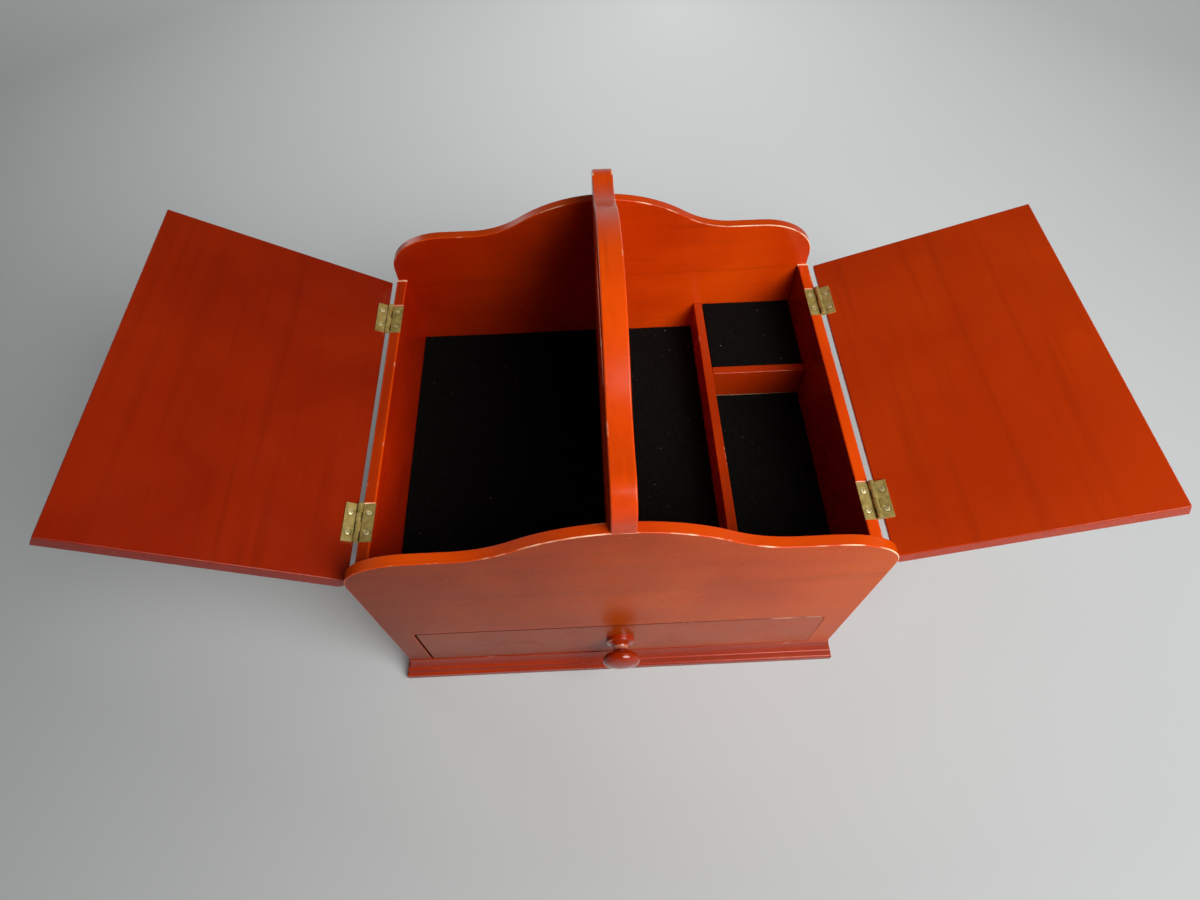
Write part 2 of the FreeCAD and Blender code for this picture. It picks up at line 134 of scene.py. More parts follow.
def lacquer(
    name, along, stain, wear_and_highlight_levels=None, gloss=(0.20, 0.30), left_painted_shade=None, shine=0.30, coat=0.0
):
    """Orange-red gloss lacquer over stained wood, with faint grain along one axis.

    Two levels of a noise, and a rise per metre towards the right, turn the lacquer to the pale
    wood colour: worn through on most edges, a painted highlight on some. A colour darkens the
    stain towards the left as painted shade. shine is the strength of its gloss, and coat a clear layer.
    """
    pale_wood_and_highlight = (0.92, 0.57, 0.35)
    grain_depth = 0.45
    ripple_height = 0.00002
    finish, tree, shader, place = new_finish(name)
    cloud = noise_value(tree, place, cells=13, detail=3, distortion=0.4)
    colour = mix_colours(tree, spread_value(tree, cloud), *stain)
    grain_cells = along_grain(along, across=170, lengthwise=6)
    grain = noise_value(tree, place, grain_cells, detail=5, distortion=0.6)
    grain_line = tuple(grain_depth * part for part in stain[0])
    grain_share = spread_value(tree, grain, (0.52, 0.80), onto=(0, 0.30))
    colour = mix_colours(tree, grain_share, colour, grain_line)
    # Painted shade: the stain is darkened towards the left.
    if left_painted_shade:
        uneven = spread_value(tree, cloud, (0.2, 0.8), onto=(-0.02, 0.02))
        from_middle = add_slope(tree, uneven, place, slope=1)
        shade_share = spread_value(tree, from_middle, (-0.15, 0.10), onto=(1, 0))
        colour = mix_colours(tree, shade_share, colour, left_painted_shade, "MULTIPLY")
    # The pale colour is worn wood on most edges and a painted highlight on some.
    if wear_and_highlight_levels:
        low, high, lean = wear_and_highlight_levels
        patches = noise_value(tree, place, cells=75, detail=6)
        pale_wear_and_highlight = add_slope(tree, patches, place, lean)
        colour = mix_colours(tree, spread_value(tree, pale_wear_and_highlight, (low, high)), colour, pale_wood_and_highlight)
    dull = noise_value(tree, place, cells=45, detail=4)
    colour_surface(tree, shader, colour, dull, gloss)
    shader.inputs["IOR"].default_value = 1.46
    shader.inputs["Specular IOR Level"].default_value = shine
    shader.inputs["Coat Weight"].default_value = coat
    ripples = noise_value(tree, place, cells=420, detail=2)
    raise_surface(tree, shader, ripples, ripple_height)
    return finish


def arc_points(centre, radius, start, end, steps):
    """Points along a round stretch of an outline, between two angles in degrees."""
    turns = [math.radians(start + (end - start) * i / steps) for i in range(steps + 1)]
    return [(centre[0] + radius * math.cos(t), centre[1] + radius * math.sin(t)) for t in turns]


def cut_board(name, outline, through):
    """Board sawn to a closed outline, and as thick as the vector through."""
    bpy.ops.object.select_all(action="DESELECT")
    bpy.ops.mesh.primitive_circle_add(vertices=len(outline), fill_type="NGON")
    board = bpy.context.object
    board.name = name
    for vertex, point in zip(board.data.vertices, outline):
        vertex.co = point
    bpy.ops.object.mode_set(mode="EDIT")
    bpy.ops.mesh.select_all(action="SELECT")
    bpy.ops.mesh.extrude_region_move(TRANSFORM_OT_translate={"value": through})
    bpy.ops.object.mode_set(mode="OBJECT")
    face_outwards(board)
    return board


def choose(piece):
    """Select one piece and nothing else."""
    bpy.ops.object.select_all(action="DESELECT")
    piece.select_set(True)
    bpy.context.view_layer.objects.active = piece


def face_outwards(piece):
    """Point the faces of a closed piece outwards."""
    choose(piece)
    bpy.ops.object.mode_set(mode="EDIT")
    bpy.ops.mesh.select_all(action="SELECT")
    bpy.ops.mesh.normals_make_consistent(inside=False)
    bpy.ops.object.mode_set(mode="OBJECT")


def settle(piece):
    """Make a piece's place, turn and scale part of its mesh."""
    choose(piece)
    bpy.ops.object.transform_apply(location=True, rotation=True, scale=True)


def paint(piece, *finishes):
    """Give a piece its finishes: its faces, its eased edges, and others after them."""
    for finish in finishes:
        piece.data.materials.append(finish)


def apply_modifier(piece, label, kind, **settings):
    """Add a modifier with its settings and make it part of the mesh."""
    choose(piece)
    modifier = piece.modifiers.new(label, kind)
    for setting, value in settings.items():
        setattr(modifier, setting, value)
    bpy.ops.object.modifier_apply(modifier=modifier.name)


on_face = 0
on_edge = 1
sharp_from = math.radians(50)
smooth_to = math.radians(40)


def soften(piece, radius, wanted=lambda middle: True, steps=3, finish=on_edge):
    """Round the sharp edges whose middle is wanted. The rounding takes one of the finishes."""
    choose(piece)
    bpy.ops.object.mode_set(mode="EDIT")
    bpy.ops.mesh.select_mode(type="EDGE")
    bpy.ops.mesh.select_all(action="DESELECT")
    bpy.ops.mesh.edges_select_sharp(sharpness=sharp_from)
    bpy.ops.object.mode_set(mode="OBJECT")
    points = piece.data.vertices
    for part in (*points, *piece.data.polygons):
        part.select = False
    for edge in piece.data.edges:
        first, second = (points[i].co for i in edge.vertices)
        edge.select = edge.select and wanted((first + second) / 2)
    bpy.ops.object.mode_set(mode="EDIT")
    bpy.ops.mesh.bevel(offset=radius, segments=steps, material=finish)
    bpy.ops.object.mode_set(mode="OBJECT")


def shade(piece):
    """Smooth the rounded stretches and keep the flat faces flat."""
    choose(piece)
    bpy.ops.object.shade_smooth_by_angle(angle=smooth_to)
    apply_modifier(piece, "even shading", "WEIGHTED_NORMAL", keep_sharp=True, weight=100)


def fit(piece, body, slot, *nodes):
    """Shade a finished piece and set it on its body in place of its solids."""
    shade(piece)
    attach(piece, body)
    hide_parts(*nodes)


case_half_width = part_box("front_panel")[1].x
case_half_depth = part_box("back_panel")[1].y
base_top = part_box("front_base_moulding")[1].z
base_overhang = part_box("front_base_moulding")[1].x - case_half_width
moulding_reach = case_half_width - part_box("base_board")[1].x
band_height = 0.0065
ridge_height = 0.013
ridge_overhang = 0.0039
nose_radius = 0.0012
nose_steps = 6
top_overhang = 0.0005
cove_depth = 0.0007
cove_steps = 6
moulding_ease = 0.0005
slightly = 0.3  # how far a face looks along an axis, of 1

base_stain = ((0.29, 0.018, 0.0005), (0.36, 0.028, 0.0006))
# Painted shade: the mouldings darken towards the left.
base_left_shade = (0.80, 0.72, 0.72)
nose_wear = (0.64, 1.10, 0.0)
base_finish = {
    axis: lacquer("base_lacquer_grain_" + axis, axis, base_stain, left_painted_shade=base_left_shade, shine=0.26)
    for axis in "xy"
}
worn_nose_finish = {
    axis: lacquer("worn_moulding_nose_" + axis, axis, base_stain, nose_wear) for axis in "xy"
}


def cove(low, high):
    """Hollow stretch of the profile between two points."""
    stretch = []
    for i in range(cove_steps + 1):
        t = i / cove_steps
        out = low[0] + (high[0] - low[0]) * t - cove_depth * 4 * t * (1 - t)
        stretch.append((out, low[1] + (high[1] - low[1]) * t))
    return stretch


def nose(out, up):
    """Rounded outer corner of the profile."""
    return arc_points((out - nose_radius, up - nose_radius), nose_radius, 0, 90, nose_steps)


ridge_foot = (ridge_overhang, ridge_height - nose_radius)
moulding_profile = [
    (-moulding_reach, 0.0),
    (base_overhang, 0.0),
    *nose(base_overhang, band_height),
    *cove((base_overhang - nose_radius, band_height), ridge_foot)[1:],
    *nose(ridge_overhang, ridge_height)[1:],
    *cove((ridge_overhang - nose_radius, ridge_height), (top_overhang, base_top))[1:],
    (-moulding_reach, base_top),
]


def base_moulding(side, case_face, half_length, turn, along):
    """One strip, made on the front side and turned to its own."""
    long_end = half_length + base_overhang
    short_end = half_length - moulding_reach
    outline = [Vector((-long_end, -(case_face + out), up)) for out, up in moulding_profile]
    strip = cut_board(side + "_moulding_strip", outline, Vector((2 * long_end, 0, 0)))
    paint(strip, base_finish[along], worn_nose_finish[along])
    bpy.ops.object.mode_set(mode="EDIT")
    for end in (-1, 1):
        bpy.ops.mesh.select_all(action="SELECT")
        bpy.ops.mesh.bisect(
            plane_co=(end * long_end, -(case_face + base_overhang), 0),
            plane_no=(end, 1, 0),
            use_fill=True,
            clear_outer=True,
        )
    bpy.ops.object.mode_set(mode="OBJECT")
    soften(strip, moulding_ease, lambda middle: abs(middle.x) < short_end)
    for face in strip.data.polygons:
        for nose_top in (band_height, ridge_height):
            if 0 < nose_top - face.center.z < nose_radius and face.normal.z > slightly:
                face.material_index = on_edge
    strip.rotation_euler.z = math.radians(turn)
    settle(strip)
    fit(strip, "case", "lacquered_wood", side + "_base_moulding")


base_moulding("front", case_half_depth, case_half_width, 0, "x")
base_moulding("right", case_half_width, case_half_depth, 90, "y")
base_moulding("back", case_half_depth, case_half_width, 180, "x")
base_moulding("left", case_half_width, case_half_depth, 270, "y")


# Base board, drawer supports and floor
# Plain unfinished boards inside the case: the base board within the mouldings, runners,
# guides and kickers for the drawer, and the floor that carries the felt. All are glued.

def bare_wood(name, along):
    """Pale planed wood with darker growth lines along one axis."""
    light_wood = (0.56, 0.37, 0.20)
    dark_wood = (0.37, 0.22, 0.105)
    rough = (0.55, 0.75)
    pore_depth = 0.00008
    finish, tree, shader, place = new_finish(name)
    line_cells = along_grain(along, across=240, lengthwise=5)
    lines = noise_value(tree, place, line_cells, detail=6, distortion=0.8)
    pore_cells = along_grain(along, across=1500, lengthwise=60)
    pores = noise_value(tree, place, pore_cells, detail=2)
    wood = mix_colours(tree, spread_value(tree, lines, (0.35, 0.7)), light_wood, dark_wood)
    colour_surface(tree, shader, wood, pores, rough)
    raise_surface(tree, shader, pores, pore_depth)
    return finish


bare_finish = {axis: bare_wood("bare_wood_grain_" + axis, axis) for axis in "xy"}


def plain_block(middle, size):
    """Square block about its middle."""
    bpy.ops.object.select_all(action="DESELECT")
    bpy.ops.mesh.primitive_cube_add(size=1, location=middle, scale=size)
    return bpy.context.object


def squared_board(node, finish, edge, radius=0.0005):
    """Board planed square to the size and place of its solid, with eased edges."""
    low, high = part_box(node)
    board = plain_block((low + high) / 2, high - low)
    board.name = node + "_piece"
    settle(board)
    paint(board, finish, edge)
    soften(board, radius)
    return board


for node in ("base_board", "floor_panel"):
    board = squared_board(node, bare_finish["x"], bare_finish["x"])
    fit(board, "case", "plain_wood", node)
for side in ("left", "right"):
    for support in ("runner", "guide", "kicker"):
        node = side + "_drawer_" + support
        board = squared_board(node, bare_finish["y"], bare_finish["y"])
        fit(board, "case", "plain_wood", node)


# Side walls
# Low lacquered boards between the panels. Two shallow mortises are cut in the top of
# each for the hinge leaves, and bare wood shows where the top meets the back panel. They
# stand a little proud of the panels' ends. Their inner faces and the left top carry painted
# shade, and a painted highlight runs along the far end of each mortise.

mortise_gap = 0.0001
leaf_thickness = 0.001
ridge_width = 0.0008
bare_end_width = 0.0011
wall_overhang = 0.001
wall_edge_radius = 0.0010
hair = 0.0001  # nearness that counts as touching
margin = 0.001  # room round a line where edges are chosen
squarely = 0.9
case_stain = ((0.54, 0.036, 0.0005), (0.72, 0.068, 0.0007))
# Painted shade: the left wall's top is stained darker than the right.
wall_top_stain_and_shade = {
    "left": ((0.36, 0.022, 0.0005), (0.47, 0.036, 0.0006)),
    "right": case_stain,
}
# Painted shade: both walls' inner faces are stained darker, the right one most.
inner_stain_with_painted_shade = {
    "left": ((0.43, 0.014, 0.0005), (0.57, 0.025, 0.0006)),
    "right": ((0.15, 0.008, 0.0005), (0.20, 0.014, 0.0006)),
}
edge_wear = (0.64, 0.86, 0.0)
# Painted highlight: the rounded far ends of the mortises turn pale.
ridge_highlight_levels = (0.30, 0.70, 0.0)
bare_end_wear = (0.15, 0.48, 0.0)
case_finish = lacquer("case_lacquer", "y", case_stain)
edge_finish = {
    axis: lacquer("lacquer_edge_grain_" + axis, axis, case_stain, edge_wear) for axis in "xy"
}
ridge_highlight_finish = lacquer("lacquer_ridge_painted_highlight", "y", case_stain, ridge_highlight_levels)
bare_end_finish = lacquer("bare_wall_end", "y", case_stain, bare_end_wear)
on_ridge_highlight, on_bare_end, on_inside, on_top = range(2, 6)
for side in ("left", "right"):
    low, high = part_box(side + "_side_wall")
    mortise_floor = high.z - leaf_thickness
    shape = [(low.y, low.z), (high.y, low.z), (high.y, high.z), (high.y - bare_end_width, high.z)]
    mortises = []
    for place in ("back", "front"):
        leaf_low, leaf_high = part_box(side + "_" + place + "_wall_leaf")
        start = leaf_high.y + mortise_gap
        end = leaf_low.y - mortise_gap
        shape += [(start, high.z), (start, mortise_floor), (end, mortise_floor), (end, high.z)]
        mortises.append((end, start))
    shape.append((low.y, high.z))
    left_face = low.x - wall_overhang if side == "left" else low.x
    thickness = high.x - low.x + wall_overhang
    outline = [Vector((left_face, along, up)) for along, up in shape]
    wall = cut_board(side + "_wall_board", outline, Vector((thickness, 0, 0)))
    inner_finish = lacquer(side + "_wall_inside_painted_shade", "y", inner_stain_with_painted_shade[side])
    top_finish = lacquer(side + "_wall_top_stain_and_shade", "y", wall_top_stain_and_shade[side])
    paint(wall, case_finish, edge_finish["y"], ridge_highlight_finish, bare_end_finish, inner_finish, top_finish)
    far_ends = [far for near, far in mortises]
    soften(
        wall,
        ridge_width,
        lambda middle: middle.z > mortise_floor
        and any(abs(middle.y - far) < hair for far in far_ends),
        finish=on_ridge_highlight,
    )
    kept_sharp = [(near - margin, far + margin) for near, far in mortises]
    kept_sharp.append((high.y - bare_end_width, high.y + margin))
    soften(
        wall,
        wall_edge_radius,
        lambda middle: not any(near < middle.y < far for near, far in kept_sharp),
    )
    inward = 1 if side == "left" else -1
    for face in wall.data.polygons:
        if face.normal.x * inward > squarely:
            face.material_index = on_inside
        elif face.normal.z > squarely and face.center.y > high.y - bare_end_width:
            face.material_index = on_bare_end
        elif face.normal.z > squarely and face.material_index == on_face:
            face.material_index = on_top
    fit(wall, "case", "lacquered_wood", side + "_side_wall")


# Front and back panels
# Lacquered boards whose tops rise in an ogee to the middle. The front one is cut away
# for the drawer, with painted shade in the joint. The top edges are rubbed through to the wood.
# Both darken towards the left, as painted shade.

def ogee_top(half, shoulder, corner, span, crown):
    """Outline over the top from the right end to the left end.

    Rounded corners of a given width and drop, flat shoulders, and two arcs that meet on the
    way up to the crown, the upper one the larger.
    """
    width, drop = corner
    rise = crown - shoulder
    bends = (span ** 2 + rise ** 2) / (2 * rise)
    sweep = math.degrees(math.asin(span / bends))
    upper = crown_share * bends
    lower = bends - upper
    quarter = arc_points((0, 0), 1, 0, 90, ogee_steps)
    right = [(half - width * (1 - across), shoulder - drop * (1 - up)) for across, up in quarter]
    right += arc_points((span, shoulder + lower), lower, 270, 270 - sweep, ogee_steps)
    right += arc_points((0, crown - upper), upper, 90 - sweep, 90, ogee_steps)[1:]
    return right + [(-across, up) for across, up in reversed(right[:-1])]


crown_share = 0.62
ogee_steps = 14
panel_shoulder = 0.1843
panel_corner_width = 0.036
panel_corner_drop = 0.025
panel_flat = 0.019
panel_edge_radius = 0.0005
drawer_gap = 0.0008
drawer_corner_left = 0.0015
drawer_corner_right = 0.006
left_corner_steps = 5
right_corner_steps = 8
opening_ease = 0.0003
above_opening = 0.1
mostly = 0.6
front_stain = ((0.47, 0.050, 0.0005), (0.59, 0.080, 0.0007))
# Painted shade: the front and back panels darken towards the left.
front_left_shade = (0.32, 0.28, 0.24)
back_left_shade = (0.60, 0.30, 0.30)
# Painted shade in the gap round the drawer: the opening's walls and the drawer front's sides.
gap_shade_stain = ((0.075, 0.007, 0.0005), (0.11, 0.011, 0.0006))
panel_top_stain = ((0.47, 0.036, 0.0005), (0.64, 0.066, 0.0007))
top_edge_wear = (0.46, 0.66, 0.6)
panel_finish = {
    "front": lacquer("front_lacquer", "x", front_stain, left_painted_shade=front_left_shade, shine=0.12),
    "back": lacquer("back_panel_lacquer", "x", case_stain, left_painted_shade=back_left_shade),
}
rubbed_finish = lacquer("rubbed_panel_edge", "x", case_stain, top_edge_wear)
gap_shade_finish = lacquer("painted_gap_shade", "x", gap_shade_stain)
panel_top_finish = lacquer("panel_top_lacquer", "x", panel_top_stain)

panel_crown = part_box("front_panel")[1].z
panel_span = case_half_width - panel_corner_width - panel_flat
panel_corner = (panel_corner_width, panel_corner_drop)
panel_top = ogee_top(case_half_width, panel_shoulder, panel_corner, panel_span, panel_crown)


def drawer_shape(grow, foot):
    """Drawer front's outline grown by a gap, from the left foot over to the right foot."""
    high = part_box("drawer_front")[1]
    half = high.x + grow
    top = high.z + grow
    left = drawer_corner_left + grow
    right = drawer_corner_right + grow
    return [
        (-half, foot),
        *arc_points((-half + left, top - left), left, 180, 90, left_corner_steps),
        *arc_points((half - right, top - right), right, 90, 0, right_corner_steps),
        (half, foot),
    ]


def at_outline(place):
    """True along a panel's sides and top, and false round the drawer's opening."""
    return place.z > above_opening or abs(place.x) > case_half_width - margin


on_rubbed, on_gap_shade, on_top = range(2, 5)
for side in ("front", "back"):
    low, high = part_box(side + "_panel")
    shape = [(case_half_width, base_top), *panel_top, (-case_half_width, base_top)]
    if side == "front":
        shape += drawer_shape(drawer_gap, base_top)
    outline = [Vector((across, low.y, up)) for across, up in shape]
    panel = cut_board(side + "_panel_board", outline, Vector((0, high.y - low.y, 0)))
    paint(panel, panel_finish[side], edge_finish["x"], rubbed_finish, gap_shade_finish, panel_top_finish)
    for edge_y, edge_look in ((low.y, on_rubbed), (high.y, on_edge)):
        soften(
            panel,
            panel_edge_radius,
            lambda middle: at_outline(middle) and math.isclose(middle.y, edge_y),
            finish=edge_look,
        )
    soften(panel, opening_ease, lambda middle: not at_outline(middle))
    for face in panel.data.polygons:
        if face.normal.z > slightly and face.material_index == on_face:
            face.material_index = on_top
        elif face.material_index == on_rubbed and face.center.z < panel_shoulder - panel_corner_drop:
            face.material_index = on_edge
        # Most of the opening's walls take painted shade.
        elif not at_outline(face.center) and abs(face.normal.y) < squarely:
            face.material_index = on_face if face.normal.x < -mostly else on_gap_shade
    fit(panel, "case", "lacquered_wood", side + "_panel")


# Handle board
# The tall lacquered board that parts the case from front to back. Its humped top stands
# over the panels, its edges are rounded, and a slot through it takes the hand.

def cut_away(piece, cutter):
    """Take the cutter's shape out of a piece."""
    apply_modifier(piece, "cut", "BOOLEAN", operation="DIFFERENCE", object=cutter)
    bpy.data.objects.remove(cutter)


handle_end_radius = 0.017
handle_flat = 0.003
handle_shoulder = 0.235
hole_length = 0.095
hole_height = 0.026
hole_level = 0.228
hole_steps = 16
handle_edge_radius = 0.0009
chipped_from = 0.098
chip_wear = (0.46, 0.62, 0.0)

low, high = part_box("handle_board")
lap = panel_crown - hair
inner_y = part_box("front_panel")[1].y
handle_span = high.y - handle_end_radius - handle_flat
handle_corner = (handle_end_radius, handle_end_radius)
handle_top = ogee_top(high.y, handle_shoulder, handle_corner, handle_span, high.z)
shape = [
    (inner_y, low.z),
    (-inner_y, low.z),
    (-inner_y, lap),
    (high.y, lap),
    *handle_top,
    (low.y, lap),
    (inner_y, lap),
]
outline = [Vector((low.x, across, up)) for across, up in shape]
handle = cut_board("handle_board_piece", outline, Vector((high.x - low.x, 0, 0)))

hole_half = hole_height / 2
hole_end = hole_length / 2 - hole_half
hole_shape = arc_points((hole_end, hole_level), hole_half, -90, 90, hole_steps)
hole_shape += arc_points((-hole_end, hole_level), hole_half, 90, 270, hole_steps)
hole_outline = [Vector((2 * low.x, across, up)) for across, up in hole_shape]
hole_cutter = cut_board("hole_cutter", hole_outline, Vector((4 * high.x, 0, 0)))
cut_away(handle, hole_cutter)

chipped_finish = lacquer("chipped_handle_end", "y", case_stain, chip_wear)
on_chipped = 2
paint(handle, case_finish, edge_finish["y"], chipped_finish)
soften(
    handle,
    handle_edge_radius,
    lambda middle: middle.z > lap + margin and middle.y > chipped_from,
    finish=on_chipped,
)
soften(handle, handle_edge_radius, lambda middle: middle.z > lap + margin)
fit(handle, "case", "lacquered_wood", "handle_board")


# Dividers
# Two thin lacquered strips that part the right side into three, the short one let in
# between the long one and the wall.

divider_ease = 0.0007
divider_stain = ((0.31, 0.021, 0.0005), (0.41, 0.034, 0.0006))
for node, along in (("long_divider", "y"), ("cross_divider", "x")):
    divider_finish = lacquer(node + "_lacquer", along, divider_stain)
    divider_edge = lacquer(node + "_edge", along, divider_stain, edge_wear)
    divider = squared_board(node, divider_finish, divider_edge, divider_ease)
    fit(divider, "case", "lacquered_wood", node)


# Felt linings
# Black felt cut to each compartment's floor and to the drawer's bottom and glued down.
# It stops just short of the back panel, where a line of bare board shows.

def black_felt(name):
    """Matt black felt with a fine nap and a few pale specks of dust."""
    dark_nap = (0.0012, 0.0012, 0.0009)
    pale_nap = (0.0052, 0.0052, 0.0044)
    dust = (0.16, 0.15, 0.13)
    rough = (0.9, 1)
    nap_height = 0.0004
    finish, tree, shader, place = new_finish(name)
    nap = noise_value(tree, place, cells=900, detail=4)
    felt = mix_colours(tree, spread_value(tree, nap, (0.35, 0.7)), dark_nap, pale_nap)
    specks = noise_value(tree, place, cells=520, detail=1)
    felt = mix_colours(tree, spread_value(tree, specks, (0.79, 0.82)), felt, dust)
    colour_surface(tree, shader, felt, nap, rough)
    shader.inputs["Specular IOR Level"].default_value = 0.05
    shader.inputs["Sheen Weight"].default_value = 0.02
    raise_surface(tree, shader, nap, nap_height)
    return finish


felt_finish = black_felt("black_felt")
bare_line = 0.0009
felt_cell = 0.003
felt_unevenness = 0.0003
felt_waves = 60
felt_half = 0.0005


def felt_sheet(node, body):
    """Sheet with a slightly uneven top, laid on the board under it."""
    low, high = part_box(node)
    width = high.x - low.x
    length = high.y - low.y - bare_line
    middle = Vector((low.x + width / 2, low.y + length / 2, low.z))
    bpy.ops.object.select_all(action="DESELECT")
    bpy.ops.mesh.primitive_grid_add(
        x_subdivisions=round(width / felt_cell),
        y_subdivisions=round(length / felt_cell),
        size=1,
        location=middle,
    )
    sheet = bpy.context.object
    sheet.scale = (width, length, 1)
    settle(sheet)
    sheet.name = node + "_sheet"
    paint(sheet, felt_finish)
    thickness = high.z - low.z - felt_unevenness
    apply_modifier(sheet, "cloth", "SOLIDIFY", thickness=thickness, offset=1)
    for vertex in sheet.data.vertices:
        if vertex.co.z > low.z + felt_half:
            vertex.co.z += felt_unevenness * noise.noise(vertex.co * felt_waves)
    fit(sheet, body, "black_felt", node)


for node in ("left_floor_felt", "narrow_floor_felt", "front_right_floor_felt"):
    felt_sheet(node, "case")
felt_sheet("drawer_felt", "drawer")


# Raised pad
# A block of foam wrapped in the same felt, cut a little oversize and pressed into the back
# right compartment, so that the cloth swells against the boards and its edges stay crisp.

pad_side_spare = 0.0026
pad_top_spare = 0.0016
pad_voxel = 0.004
pad_clearance = 0.0001
glued_height = 0.002
swell_pressure = 4
swell_frames = 20

low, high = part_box("raised_pad")
block_low = low - Vector((pad_side_spare, pad_side_spare, 0))
block_high = high + Vector((pad_side_spare, pad_side_spare, pad_top_spare))
pad = plain_block((block_low + block_high) / 2, block_high - block_low)
pad.name = "felt_pad"
settle(pad)
apply_modifier(pad, "even mesh", "REMESH", mode="VOXEL", voxel_size=pad_voxel)
foot = [vertex.index for vertex in pad.data.vertices if vertex.co.z < low.z + glued_height]
glued = pad.vertex_groups.new(name="glued_foot")
glued.add(foot, 1, "REPLACE")
swell = pad.modifiers.new("swell", "CLOTH")
swell.settings.vertex_group_mass = glued.name
swell.settings.use_pressure = True
swell.settings.uniform_pressure_force = swell_pressure
swell.settings.effector_weights.gravity = 0
swell.point_cache.frame_start = 1
swell.point_cache.frame_end = swell_frames
for frame_number in range(1, swell_frames + 1):
    bpy.context.scene.frame_set(frame_number)
bpy.ops.object.modifier_apply(modifier=swell.name)
bpy.context.scene.frame_set(1)
pad.vertex_groups.clear()
for vertex in pad.data.vertices:
    for axis in range(3):
        lowest = low[axis] + (0 if axis == 2 else pad_clearance)
        vertex.co[axis] = min(max(vertex.co[axis], lowest), high[axis] - pad_clearance)
apply_modifier(pad, "even skin", "SUBSURF", levels=1, render_levels=1)
pad.data.materials.clear()
paint(pad, felt_finish)
fit(pad, "case", "black_felt", "raised_pad")


# Drawer
# A flush lacquered front on a plain box: two sides with a groove for the bottom, and a
# back set between them. The front has one crisp and one rounder top corner, and sits a
# little to the right in its opening.

drawer_lean = 0.0006
front_ease = 0.0002
side_ease = 0.0004
box_ease = 0.0003
drawer_stain = ((0.37, 0.040, 0.0005), (0.46, 0.060, 0.0007))
# Painted shade: the drawer front darkens towards the left.
drawer_left_shade = (0.44, 0.42, 0.40)
# The drawer front's edges carry painted shade, with a painted highlight that grows towards the right.
drawer_edge_highlight_levels = (0.66, 0.82, 1.2)
drawer_finish = lacquer("drawer_lacquer", "x", drawer_stain, left_painted_shade=drawer_left_shade, shine=0.19)
drawer_edge_shade_and_highlight_finish = lacquer("drawer_edge", "x", gap_shade_stain, drawer_edge_highlight_levels)
on_gap_shade = 2

low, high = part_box("drawer_front")
outline = [Vector((across + drawer_lean, low.y, up)) for across, up in drawer_shape(0, low.z)]
drawer_front = cut_board("drawer_front_board", outline, Vector((0, high.y - low.y, 0)))
paint(drawer_front, drawer_finish, drawer_edge_shade_and_highlight_finish, gap_shade_finish)
soften(drawer_front, front_ease)
for face in drawer_front.data.polygons:
    if face.normal.x > mostly:
        face.material_index = on_face
    elif face.material_index == on_face and abs(face.normal.y) < mostly:
        face.material_index = on_gap_shade
fit(drawer_front, "drawer", "lacquered_wood", "drawer_front")

bottom_low, bottom_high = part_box("drawer_bottom")
for side in ("left", "right"):
    node = "drawer_" + side + "_side"
    low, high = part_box(node)
    inner, outer = (high.x, low.x) if side == "left" else (low.x, high.x)
    groove = bottom_low.x if side == "left" else bottom_high.x
    shape = [
        (outer, low.z),
        (outer, high.z),
        (inner, high.z),
        (inner, bottom_high.z),
        (groove, bottom_high.z),
        (groove, bottom_low.z),
        (inner, bottom_low.z),
        (inner, low.z),
    ]
    outline = [Vector((across, low.y, up)) for across, up in shape]
    board = cut_board(node + "_board", outline, Vector((0, high.y - low.y, 0)))
    paint(board, bare_finish["y"], bare_finish["y"])
    soften(board, side_ease, lambda middle: middle.z > bottom_high.z + margin)
    fit(board, "drawer", "plain_wood", node)
for node in ("drawer_back", "drawer_bottom"):
    board = squared_board(node, bare_finish["x"], bare_finish["x"], box_ease)
    fit(board, "drawer", "plain_wood", node)


# Knob and its screw
# A turned and lacquered knob with a ring at the foot, a waisted neck and a shallow domed
# head. One screw holds it from inside the drawer front.

def turned(name, profile, steps):
    """Piece turned about its own upright axis from points of radius and height."""
    bpy.ops.object.select_all(action="DESELECT")
    bpy.ops.mesh.primitive_circle_add(vertices=len(profile), fill_type="NOTHING")
    piece = bpy.context.object
    piece.name = name
    for vertex, (radius, height) in zip(piece.data.vertices, profile):
        vertex.co = (radius, 0, height)
    bpy.ops.object.mode_set(mode="EDIT")
    bpy.ops.mesh.select_all(action="SELECT")
    bpy.ops.mesh.spin(steps=steps, angle=2 * math.pi, center=(0, 0, 0), axis=(0, 0, 1))
    bpy.ops.mesh.select_all(action="SELECT")
    bpy.ops.mesh.remove_doubles(threshold=seam_width)
    bpy.ops.mesh.delete_loose(use_verts=True, use_edges=True, use_faces=False)
    bpy.ops.object.mode_set(mode="OBJECT")
    face_outwards(piece)
    return piece


def lay_along_slide(piece, tilt, place):
    """Tip an upright turned piece forwards or backwards and move it into the drawer front."""
    piece.rotation_euler.x = math.radians(tilt)
    piece.location = place
    settle(piece)


def cross_recess(screw, top, arm, width, depth):
    """Cross-shaped socket in the head of an upright screw."""
    for size_x, size_y in ((arm, width), (width, arm)):
        cut_away(screw, plain_block((0, 0, top), (size_x, size_y, 2 * depth)))


seam_width = 0.000005
knob_turns = 64
ring_radius = 0.0090
ring_length = 0.0034
ring_round = 0.0010
neck_radius = 0.0047
cove_end = 110
rim_round = 0.0036
rim_start = -68
rim_end = 71
ring_steps = 6
bend_steps = 12
dome_steps = 8

